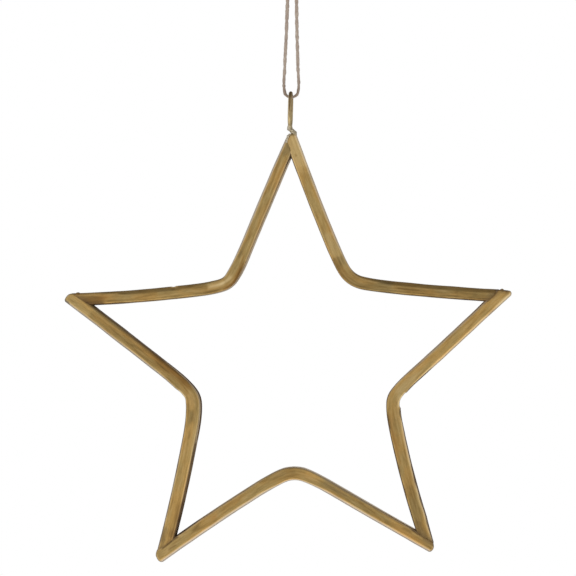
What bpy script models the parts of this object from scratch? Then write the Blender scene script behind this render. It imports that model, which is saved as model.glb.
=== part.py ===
"""Open frame star ornament: five bent square brass bars brazed tip to tip, a brass wire
eye on the top point, and a loop of jute twine knotted above it.

Metres, +Z up. The star hangs in the XZ plane with its front towards -Y. The origin is
the inside top of the twine loop, just under the knot, where a hook carries the ornament.
"""

import math

import bmesh
import bpy
import numpy as np
from mathutils import Matrix, Vector

MM = 0.001

# ---- driving dimensions, millimetres and degrees ---------------------------------------
HANG_TO_CENTRE = (-0.80, -162.03)  # star centre from the hang point, X and Z
BAR_DEPTH = 5.0  # bar size front to back
EDGE_RADIUS = 1.0  # rounding of the bar's four long edges
JOINT_GAP = 0.3  # clearance at each butted end

# Each bar is one length of square stock bent once, near its middle, over a small pin.
# bend: radius and azimuth of the bend's centre-line point, from the star's centre
# heading: direction of the first leg as it runs into the bend; turn: total bend angle
# share, core, tail: the sharp part's share of the turn, its half length, and the half
#   length of the softer spring on each side
# bow: the slight curvature left in each leg, radians per millimetre
# width: face width of the first and second leg; twist: how far each leg is rolled
# dress: for each end, the side that is filed or spread (left or right of the way the bar
#   runs), the arc length at which that starts, and its angle
BARS = {
    "bar_upper_right": dict(
        bend=(38.35, 55.1), heading=-68.1, turn=62.1, share=0.78, core=4.25, tail=18.8,
        bow=(0.0013, 0.0013), width=(4.67, 4.45), twist=(0.0, -1.5),
        dress=((1, 48.0, 1.0), None)),
    "bar_lower_right": dict(
        bend=(38.76, -17.5), heading=-138.1, turn=59.5, share=0.50, core=1.75, tail=11.7,
        bow=(-0.0009, 0.0033), width=(4.80, 5.20), twist=(0.0, 1.0),
        dress=((1, 42.0, -1.5), (1, 43.0, 3.6))),
    "bar_bottom": dict(
        bend=(38.12, -88.1), heading=150.3, turn=62.2, share=0.64, core=4.05, tail=17.1,
        bow=(-0.0003, 0.0014), width=(4.40, 4.90), twist=(0.0, 2.0),
        dress=(None, None)),
    "bar_lower_left": dict(
        bend=(37.14, -162.0), heading=79.6, turn=62.7, share=0.48, core=2.16, tail=14.3,
        bow=(0.0018, 0.0003), width=(4.95, 4.90), twist=(5.0, 5.0),
        dress=(None, (-1, 53.0, 5.0))),
    "bar_upper_left": dict(
        bend=(37.92, 127.0), heading=6.5, turn=60.9, share=0.53, core=2.18, tail=13.0,
        bow=(0.0020, -0.0002), width=(4.60, 4.55), twist=(-2.0, 1.0),
        dress=(None, (1, 46.0, 1.4))),
}

# At each tip one bar runs through to a filed nose and the other butts against its side.
# nose: radius and azimuth of the nose from the star's centre, and the way it faces
# proud: how far the through bar stands past the other bar's outer side
TIPS = {
    "top": dict(through=("bar_upper_right", 0), butt=("bar_upper_left", 1),
                nose=(83.9, 89.5), facing=96.0, proud=-0.6),
    "right": dict(through=("bar_lower_right", 0), butt=("bar_upper_right", 1),
                  nose=(82.7, 18.0), facing=10.0, proud=-0.1),
    "lower_right": dict(through=("bar_bottom", 0), butt=("bar_lower_right", 1),
                        nose=(81.5, -52.1), facing=-45.0, proud=0.0),
    "lower_left": dict(through=("bar_bottom", 1), butt=("bar_lower_left", 0),
                       nose=(84.0, -124.6), facing=-146.0, proud=0.35),
    "left": dict(through=("bar_lower_left", 1), butt=("bar_upper_left", 0),
                 nose=(85.5, 162.9), facing=148.0, proud=0.0),
}

WIRE = 1.5  # diameter of the wire eye
EYE_TOP = -62.25  # outer top of the eye, Z
EYE_HEIGHT = 13.6  # outer height of the eye
EYE_DEPTH = 6.5  # between the wire's centre lines, front to back
EYE_X = (-0.62, -0.98)  # centre line X at the eye's top and at its foot
BEAD = dict(x=-0.35, z=-76.35, half=(1.9, 2.5, 1.35))  # brazed foot of the eye

TWINE = 1.3  # twine diameter
KNOT = dict(z=2.9, half=(2.75, 1.9, 2.55))  # overhand knot: centre height, half sizes
# The knot's two cut ends: X and Y where they leave it, top height, lean in X and in Y
TAILS = ((-1.25, -0.5, 9.2, -14.0, 9.0), (1.2, 0.45, 10.6, 17.0, -7.0))
# The twine's left and right strands, X against Z, from the knot down to the eye
STRAND_LEFT = ((-0.86, 0.15), (-1.10, -12.0), (-1.85, -28.4), (-2.35, -42.0),
               (-2.88, -53.0), (-2.95, -62.35))
STRAND_RIGHT = ((0.86, 0.15), (1.02, -12.0), (1.42, -28.5), (1.62, -42.0),
                (1.93, -53.0), (1.99, -62.35))
TURN_Z = -64.85  # lowest point of the twine's centre line, inside the eye

BRASS = dict(color=(0.36, 0.235, 0.075, 1.0), metallic=1.0, roughness=0.42)
BRAZE = dict(color=(0.42, 0.31, 0.13, 1.0), metallic=1.0, roughness=0.5)
JUTE = dict(color=(0.36, 0.29, 0.22, 1.0), metallic=0.0, roughness=0.95)


# ---- helpers ---------------------------------------------------------------------------
def clear_scene():
    for obj in list(bpy.data.objects):
        bpy.data.objects.remove(obj, do_unlink=True)


def material(name, color, metallic, roughness):
    mat = bpy.data.materials.new(name)
    mat.use_nodes = True
    shader = mat.node_tree.nodes["Principled BSDF"]
    shader.inputs["Base Color"].default_value = color
    shader.inputs["Metallic"].default_value = metallic
    shader.inputs["Roughness"].default_value = roughness
    return mat


def add_object(name, mesh, mat):
    obj = bpy.data.objects.new(name, mesh)
    bpy.context.scene.collection.objects.link(obj)
    obj.data.materials.append(mat)
    return obj


def place(obj, x, z, parent):
    """Move an object's own origin to a point of the star's plane and hang it on its parent."""
    shift = Vector((x, 0.0, z)) * MM
    obj.data.transform(Matrix.Translation(-shift))
    obj.parent = parent
    obj.location = shift - parent.location


def polar(radius, azimuth):
    """A point of the star's plane from its centre, millimetres."""
    a = math.radians(azimuth)
    return np.array([HANG_TO_CENTRE[0] + radius * math.cos(a),
                     HANG_TO_CENTRE[1] + radius * math.sin(a)])


def direction(azimuth):
    a = math.radians(azimuth)
    return np.array([math.cos(a), math.sin(a)])


# ---- bars ------------------------------------------------------------------------------
class CentreLine:
    """The bent centre line of one bar, by arc length from the middle of its bend."""

    REACH = 66.0

    def __init__(self, bend, heading, turn, share, core, tail, bow, width, twist, dress):
        self.width, self.twist, self.dress = width, twist, dress
        s = np.linspace(-self.REACH, self.REACH, 2641)
        sharp = np.sqrt((s / core + 1) ** 2 + 0.12) - np.sqrt((s / core - 1) ** 2 + 0.12)
        soft = np.sin(np.clip(s / tail, -1, 1) * math.pi / 2)
        head = math.radians(heading) + math.radians(turn) * (
            share * (0.5 + sharp / 4) + (1 - share) * (0.5 + soft / 2))
        head += bow[0] * np.minimum(s + tail, 0) + bow[1] * np.maximum(s - tail, 0)
        step = s[1] - s[0]
        mid = (head[1:] + head[:-1]) / 2
        x = np.concatenate([[0], np.cumsum(np.cos(mid)) * step])
        z = np.concatenate([[0], np.cumsum(np.sin(mid)) * step])
        at = polar(*bend)
        self.s, self.head = s, head
        self.x = x - np.interp(0, s, x) + at[0]
        self.z = z - np.interp(0, s, z) + at[1]

    def point(self, s):
        return np.array([np.interp(s, self.s, self.x), np.interp(s, self.s, self.z)])

    def along(self, s):
        h = np.interp(s, self.s, self.head)
        return np.array([math.cos(h), math.sin(h)])

    def blend(self, s, pair):
        t = 0.5 + 0.5 * math.sin(max(-1.0, min(1.0, s / 12.0)) * math.pi / 2)
        return pair[0] + (pair[1] - pair[0]) * t

    def face(self, s):
        return self.blend(s, self.width)

    def surface(self, s, across, deep):
        """The point of the bar at arc length s, across its face and deep from its middle."""
        dress = self.dress[1 if s > 0 else 0]
        if dress and dress[0] * across > 0:
            filed = math.tan(math.radians(dress[2])) * max(abs(s) - dress[1], 0.0)
            across -= filed * across / (self.face(s) / 2)
        roll = math.radians(self.blend(s, self.twist))
        a = across * math.cos(roll) - deep * math.sin(roll)
        d = across * math.sin(roll) + deep * math.cos(roll)
        p, t = self.point(s), self.along(s)
        return np.array([p[0] - t[1] * a, d, p[1] + t[0] * a])


def section(width, depth, radius, steps):
    """A rounded rectangle as (across, deep) pairs, anticlockwise."""
    ring = []
    for k, (sx, sy) in enumerate(((1, 1), (-1, 1), (-1, -1), (1, -1))):
        for i in range(steps + 1):
            a = math.radians(90 * k + 90 * i / steps)
            ring.append((sx * (width / 2 - radius) + radius * math.cos(a),
                         sy * (depth / 2 - radius) + radius * math.sin(a)))
    return ring


def side_plane(line, end, tip, toward, offset):
    """The straight side of a bar next to a tip: a point and an outward normal in the star's
    plane, on the side that faces the point toward, moved out by offset."""
    away = np.hypot(line.x - tip[0], line.z - tip[1])
    s = abs(line.s[np.argmin(np.where((line.s > 0) == bool(end), away, 1e9))])
    sign = 1 if end else -1
    p, t = line.point(sign * s), line.along(sign * s)
    side = 1 if np.dot(toward - p, [-t[1], t[0]]) > 0 else -1
    near, far = (line.surface(sign * k, side * line.face(sign * k) / 2, 0.0)[[0, 2]]
                 for k in (s - 9.0, s - 2.0))
    run = (far - near) / np.linalg.norm(far - near)
    n = np.array([-run[1], run[0]])
    if np.dot(far - p, n) < 0:
        n = -n
    return far + n * offset, n


def cuts(lines):
    """For each bar and each of its two ends, the planes that end it."""
    found = {}
    for tip in TIPS.values():
        (t_name, t_end), (b_name, b_end) = tip["through"], tip["butt"]
        t_line, b_line = lines[t_name], lines[b_name]
        nose = polar(*tip["nose"])
        b_far = b_line.point(30.0 if b_end else -30.0)
        t_far = t_line.point(30.0 if t_end else -30.0)
        p, n = side_plane(t_line, t_end, nose, b_far, JOINT_GAP)
        found[b_name, b_end] = [(p, -n)]
        outer = side_plane(b_line, b_end, nose, 2 * nose - t_far, tip["proud"])
        found[t_name, t_end] = [outer, (nose, direction(tip["facing"]))]
    return found


def end_length(line, end, planes, across, deep):
    """Arc length at which one long line of the bar meets the first of its end planes."""
    sign = 1.0 if end else -1.0
    best = line.REACH
    for p, n in planes:
        low, high = 30.0, line.REACH
        for _ in range(40):
            mid = (low + high) / 2
            q = line.surface(sign * mid, across, deep)
            inside = (q[0] - p[0]) * n[0] + (q[2] - p[1]) * n[1] < 0
            low, high = (mid, high) if inside else (low, mid)
        best = min(best, low)
    return sign * best


def stations():
    """Arc lengths of the rings: close together round the bend, far apart on the legs."""
    near = [-16, -12.5, -9.5, -7, -5, -3.3, -1.7, 0, 1.7, 3.3, 5, 7, 9.5, 12.5, 16]
    far = [22, 29, 36, 41]
    return [-s for s in reversed(far)] + near + far


def bar_mesh(name, line, planes_start, planes_end, corner_steps=2, end_rings=2):
    rings = []
    middle = stations()
    face = [line.face(s) for s in middle]

    def profile(width):
        return section(width, BAR_DEPTH, EDGE_RADIUS, corner_steps)

    count = len(profile(5.0))
    starts = [end_length(line, 0, planes_start, *profile(line.face(-50))[k]) for k in range(count)]
    ends = [end_length(line, 1, planes_end, *profile(line.face(50))[k]) for k in range(count)]
    for i in range(end_rings):
        f = i / end_rings
        rings.append([line.surface(starts[k] + (middle[0] - starts[k]) * f,
                                   *profile(line.face(-50))[k]) for k in range(count)])
    for s, width in zip(middle, face):
        rings.append([line.surface(s, *profile(width)[k]) for k in range(count)])
    for i in range(1, end_rings + 1):
        f = i / end_rings
        rings.append([line.surface(middle[-1] + (ends[k] - middle[-1]) * f,
                                   *profile(line.face(50))[k]) for k in range(count)])
    bm = bmesh.new()
    made = [[bm.verts.new(Vector(p) * MM) for p in ring] for ring in rings]
    for a, b in zip(made, made[1:]):
        for k in range(count):
            j = (k + 1) % count
            bm.faces.new((a[k], a[j], b[j], b[k]))
    for ring in (made[0], made[-1]):
        centre = bm.verts.new(sum((v.co for v in ring), Vector()) / count)
        for k in range(count):
            bm.faces.new((ring[k], ring[(k + 1) % count], centre))
    bmesh.ops.recalc_face_normals(bm, faces=bm.faces)
    mesh = bpy.data.meshes.new(name)
    bm.to_mesh(mesh)
    bm.free()
    mesh.shade_smooth()
    mesh.set_sharp_from_angle(angle=math.radians(40))
    return mesh


# ---- wire eye --------------------------------------------------------------------------
def eye_path():
    """The closed centre line of the wire: an upright oblong ring, seen edge-on from the front."""
    r = EYE_DEPTH / 2
    top = EYE_TOP - WIRE / 2
    foot = EYE_TOP - EYE_HEIGHT + WIRE / 2
    path = []
    for i in range(10):
        a = math.radians(180 * i / 9)
        path.append((r * math.cos(a), top - r + r * math.sin(a)))
    for i in range(10):
        a = math.radians(180 + 180 * i / 9)
        path.append((r * math.cos(a), foot + r + r * math.sin(a)))
    slope = (EYE_X[0] - EYE_X[1]) / (top - foot)
    return [np.array([EYE_X[1] + (z - foot) * slope, y, z]) for y, z in path]


def ring_tube(bm, path, radius, sides):
    """A closed tube about a closed path that lies nearly in a plane across X."""
    n = len(path)
    rings = []
    for i, p in enumerate(path):
        t = path[(i + 1) % n] - path[i - 1]
        t /= np.linalg.norm(t)
        u = np.cross(t, [1.0, 0.0, 0.0])
        u /= np.linalg.norm(u)
        v = np.cross(t, u)
        rings.append([bm.verts.new(Vector(p + radius * (math.cos(a) * u + math.sin(a) * v)) * MM)
                      for a in (2 * math.pi * k / sides for k in range(sides))])
    for i in range(n):
        a, b = rings[i], rings[(i + 1) % n]
        for k in range(sides):
            j = (k + 1) % sides
            bm.faces.new((a[k], a[j], b[j], b[k]))


def ellipsoid(bm, centre, half, segments, rings, lump=0.0):
    made = bmesh.ops.create_uvsphere(bm, u_segments=segments, v_segments=rings, radius=1.0)
    for v in made["verts"]:
        x, y, z = v.co
        swell = 1.0 + lump * math.sin(3.1 * x + 1.3) * math.cos(2.7 * y + 0.6 * z)
        v.co = Vector((centre[0] + half[0] * x * swell, centre[1] + half[1] * y * swell,
                       centre[2] + half[2] * z)) * MM


def joined(name, shapes, mat):
    """One closed body from several overlapping shapes, by Boolean union."""
    objects = []
    for i, build in enumerate(shapes):
        bm = bmesh.new()
        build(bm)
        bmesh.ops.recalc_face_normals(bm, faces=bm.faces)
        mesh = bpy.data.meshes.new(name if i == 0 else f"{name}_shape_{i}")
        bm.to_mesh(mesh)
        bm.free()
        mesh.shade_smooth()
        mesh.set_sharp_from_angle(angle=math.radians(50))
        obj = bpy.data.objects.new(mesh.name, mesh)
        bpy.context.scene.collection.objects.link(obj)
        objects.append(obj)
    body = objects[0]
    body.data.materials.append(mat)
    for other in objects[1:]:
        union = body.modifiers.new("join", "BOOLEAN")
        union.operation = "UNION"
        union.solver = "EXACT"
        union.object = other
        other.hide_render = True
        other.display_type = "WIRE"
    return body


# ---- twine -----------------------------------------------------------------------------
def smooth_curve(points, spacing):
    """A smooth curve through the points, read at about the given spacing."""
    pts = np.array(points, float)
    t = np.concatenate([[0], np.cumsum(np.linalg.norm(np.diff(pts, axis=0), axis=1))])
    slope = np.gradient(pts, t, axis=0)
    out = []
    for i in range(len(pts) - 1):
        h = t[i + 1] - t[i]
        for u in np.linspace(0, 1, max(1, int(round(h / spacing))) + 1)[:-1]:
            a = 2 * u**3 - 3 * u**2 + 1
            b = u**3 - 2 * u**2 + u
            out.append(a * pts[i] + b * h * slope[i] + (1 - a) * pts[i + 1]
                       + (u**3 - u**2) * h * slope[i + 1])
    out.append(pts[-1])
    return out


def twine_route(steps=10):
    """From the knot down the left strand, through the eye and up the right strand."""
    (x0, z0), (x1, _) = STRAND_LEFT[-1], STRAND_RIGHT[-1]
    mid, half, drop = (x0 + x1) / 2, (x1 - x0) / 2, z0 - TURN_Z
    turn = [(mid - half * math.cos(a), z0 - drop * math.sin(a))
            for a in (math.pi * i / steps for i in range(1, steps))]
    route = smooth_curve([*STRAND_LEFT, *turn, *reversed(STRAND_RIGHT)], 3.0)
    return [(p[0], 0.0, p[1]) for p in route]


def tube_curve(name, points, diameter, mat, resolution=2):
    curve = bpy.data.curves.new(name, "CURVE")
    curve.dimensions = "3D"
    curve.bevel_depth = diameter / 2 * MM
    curve.bevel_resolution = resolution
    curve.use_fill_caps = True
    spline = curve.splines.new("POLY")
    spline.points.add(len(points) - 1)
    for target, p in zip(spline.points, points):
        target.co = (p[0] * MM, p[1] * MM, p[2] * MM, 1.0)
    return add_object(name, curve, mat)


def tail_shape(x, y, top, lean_x, lean_y, radius=TWINE / 2, sides=8):
    """One cut end of the twine that stands out of the knot's top."""

    def build(bm):
        start = np.array([x, y, KNOT["z"]])
        tip = np.array([x + (top - KNOT["z"]) * math.tan(math.radians(lean_x)),
                        y + (top - KNOT["z"]) * math.tan(math.radians(lean_y)), top])
        t = tip - start
        t /= np.linalg.norm(t)
        u = np.cross(t, [0.0, 1.0, 0.0])
        u /= np.linalg.norm(u)
        v = np.cross(t, u)
        ends = []
        for p, r in ((start, radius), (tip, radius)):
            ends.append([bm.verts.new(Vector(p + r * (math.cos(a) * u + math.sin(a) * v)) * MM)
                         for a in (2 * math.pi * k / sides for k in range(sides))])
        for k in range(sides):
            j = (k + 1) % sides
            bm.faces.new((ends[0][k], ends[0][j], ends[1][j], ends[1][k]))
        bm.faces.new(ends[0])
        bm.faces.new(ends[1])

    return build


# ---- the ornament ----------------------------------------------------------------------
def build():
    clear_scene()
    brass = material("brass", **BRASS)
    eye_brass = material("eye_brass", **BRAZE)
    jute = material("jute_twine", **JUTE)

    star = bpy.data.objects.new("star_centre", None)
    star.location = Vector((HANG_TO_CENTRE[0], 0.0, HANG_TO_CENTRE[1])) * MM
    bpy.context.scene.collection.objects.link(star)

    lines = {name: CentreLine(**shape) for name, shape in BARS.items()}
    planes = cuts(lines)
    for name, line in lines.items():
        mesh = bar_mesh(name, line, planes[name, 0], planes[name, 1])
        place(add_object(name, mesh, brass), *line.point(0.0), star)

    joined("hanging_eye", [
        lambda bm: ring_tube(bm, eye_path(), WIRE / 2, 12),
        lambda bm: ellipsoid(bm, (BEAD["x"], 0.0, BEAD["z"]), BEAD["half"], 14, 9, 0.04),
    ], eye_brass)

    tube_curve("twine_loop", twine_route(), TWINE, jute)
    joined("twine_knot", [
        lambda bm: ellipsoid(bm, (0.0, 0.0, KNOT["z"]), KNOT["half"], 16, 10),
        tail_shape(*TAILS[0]),
        tail_shape(*TAILS[1]),
    ], jute)


build()
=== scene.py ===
"""Open frame star ornament of bent square brass bar on a loop of jute twine, seen in a
white studio. Metres, +Z up, the star's front towards -Y, the origin where it hangs."""

import math

import bmesh
import bpy
import numpy as np
from mathutils import Matrix, Vector


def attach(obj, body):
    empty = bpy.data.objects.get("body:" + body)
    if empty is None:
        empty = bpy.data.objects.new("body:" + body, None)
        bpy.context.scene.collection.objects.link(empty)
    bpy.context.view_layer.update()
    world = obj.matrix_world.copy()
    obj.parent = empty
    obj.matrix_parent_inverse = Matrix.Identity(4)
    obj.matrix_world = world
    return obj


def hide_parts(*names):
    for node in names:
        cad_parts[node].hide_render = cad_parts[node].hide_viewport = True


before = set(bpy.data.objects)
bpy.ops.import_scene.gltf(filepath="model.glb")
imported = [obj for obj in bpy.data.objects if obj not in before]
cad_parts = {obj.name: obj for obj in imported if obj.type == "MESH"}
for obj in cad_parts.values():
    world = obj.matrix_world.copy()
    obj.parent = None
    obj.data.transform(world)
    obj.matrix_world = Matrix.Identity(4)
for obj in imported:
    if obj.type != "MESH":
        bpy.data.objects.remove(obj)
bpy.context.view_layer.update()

MM = 0.001

# ---- the ornament's dimensions, millimetres and degrees ----------------------------------
STAR = (-0.80, -162.03)  # star centre from the hang point, X and Z
DEPTH = 5.0

BARS = {
    "bar_upper_right": dict(
        bend=(38.35, 55.1), heading=-68.1, turn=62.1, share=0.78, core=4.25, tail=18.8,
        bow=(0.0013, 0.0013), width=(4.67, 4.45), twist=(0.0, -1.5),
        dress=((1, 48.0, 1.0), None)),
    "bar_lower_right": dict(
        bend=(38.76, -17.5), heading=-138.1, turn=59.5, share=0.50, core=1.75, tail=11.7,
        bow=(-0.0009, 0.0033), width=(4.80, 5.20), twist=(0.0, 1.0),
        dress=((1, 42.0, -1.5), (1, 43.0, 3.6))),
    "bar_bottom": dict(
        bend=(38.12, -88.1), heading=150.3, turn=62.2, share=0.64, core=4.05, tail=17.1,
        bow=(-0.0003, 0.0014), width=(4.40, 4.90), twist=(0.0, 2.0),
        dress=(None, None)),
    "bar_lower_left": dict(
        bend=(37.14, -162.0), heading=79.6, turn=62.7, share=0.48, core=2.16, tail=14.3,
        bow=(0.0018, 0.0003), width=(4.95, 5.00), twist=(5.0, 3.2),
        dress=(None, (-1, 53.0, 5.0))),
    "bar_upper_left": dict(
        bend=(37.92, 127.0), heading=6.5, turn=60.9, share=0.53, core=2.18, tail=13.0,
        bow=(0.0020, -0.0002), width=(4.60, 4.55), twist=(-2.0, 1.0),
        dress=(None, (1, 46.0, 1.4))),
}

TIPS = {
    "top": dict(through=("bar_upper_right", 0), butt=("bar_upper_left", 1),
                nose=(83.9, 89.5), facing=96.0, proud=-0.6),
    "right": dict(through=("bar_lower_right", 0), butt=("bar_upper_right", 1),
                  nose=(82.95, 18.0), facing=10.0, proud=-0.1),
    "lower_right": dict(through=("bar_bottom", 0), butt=("bar_lower_right", 1),
                        nose=(81.85, -52.1), facing=-45.0, proud=0.0),
    "lower_left": dict(through=("bar_bottom", 1), butt=("bar_lower_left", 0),
                       nose=(83.95, -124.6), facing=-146.0, proud=0.55,
                       cut=(2.45, -57.5, -102.0, 0.75)),
    "left": dict(through=("bar_lower_left", 1), butt=("bar_upper_left", 0),
                 nose=(85.75, 162.9), facing=148.0, proud=0.0),
}

# radius of the rounded long edges, for each leg: on the left of the way along, on the right
EDGES = {
    "bar_upper_right": ((1.10, 0.70), (1.68, 0.75)),
    "bar_lower_right": ((0.95, 1.10), (1.10, 0.75)),
    "bar_bottom": ((1.22, 0.85), (1.27, 0.90)),
    "bar_lower_left": ((0.90, 0.90), (1.10, 0.90)),
    "bar_upper_left": ((1.70, 0.75), (1.15, 0.90)),
}

# where a leg's left edge is less rounded towards its end: from, to, how much less
EASED = {"bar_upper_left": (-42.0, -37.0, 0.45)}

# how pale each long edge is, in the same order: partly worn brass, partly a painted highlight
WORN_AND_SHEEN = {
    "bar_upper_right": ((0.60, 0.20), (0.0, 0.05)),
    "bar_lower_right": ((0.50, 0.70), (0.55, 0.05)),
    "bar_bottom": ((1.0, 0.45), (1.0, 0.35)),
    "bar_lower_left": ((0.65, 0.15), (0.95, 0.10)),
    "bar_upper_left": ((0.0, 0.10), (1.0, 0.25)),
}

# how bright each leg is: partly the patina's own tone, partly painted shade for how the leg faces the
# light
LEG_TONE = {
    "bar_upper_right": (0.08, -0.24),
    "bar_lower_right": (0.06, -0.08),
    "bar_bottom": (-0.18, -0.09),
    "bar_lower_left": (-0.03, -0.26),
    "bar_upper_left": (-0.14, -0.08),
}
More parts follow.
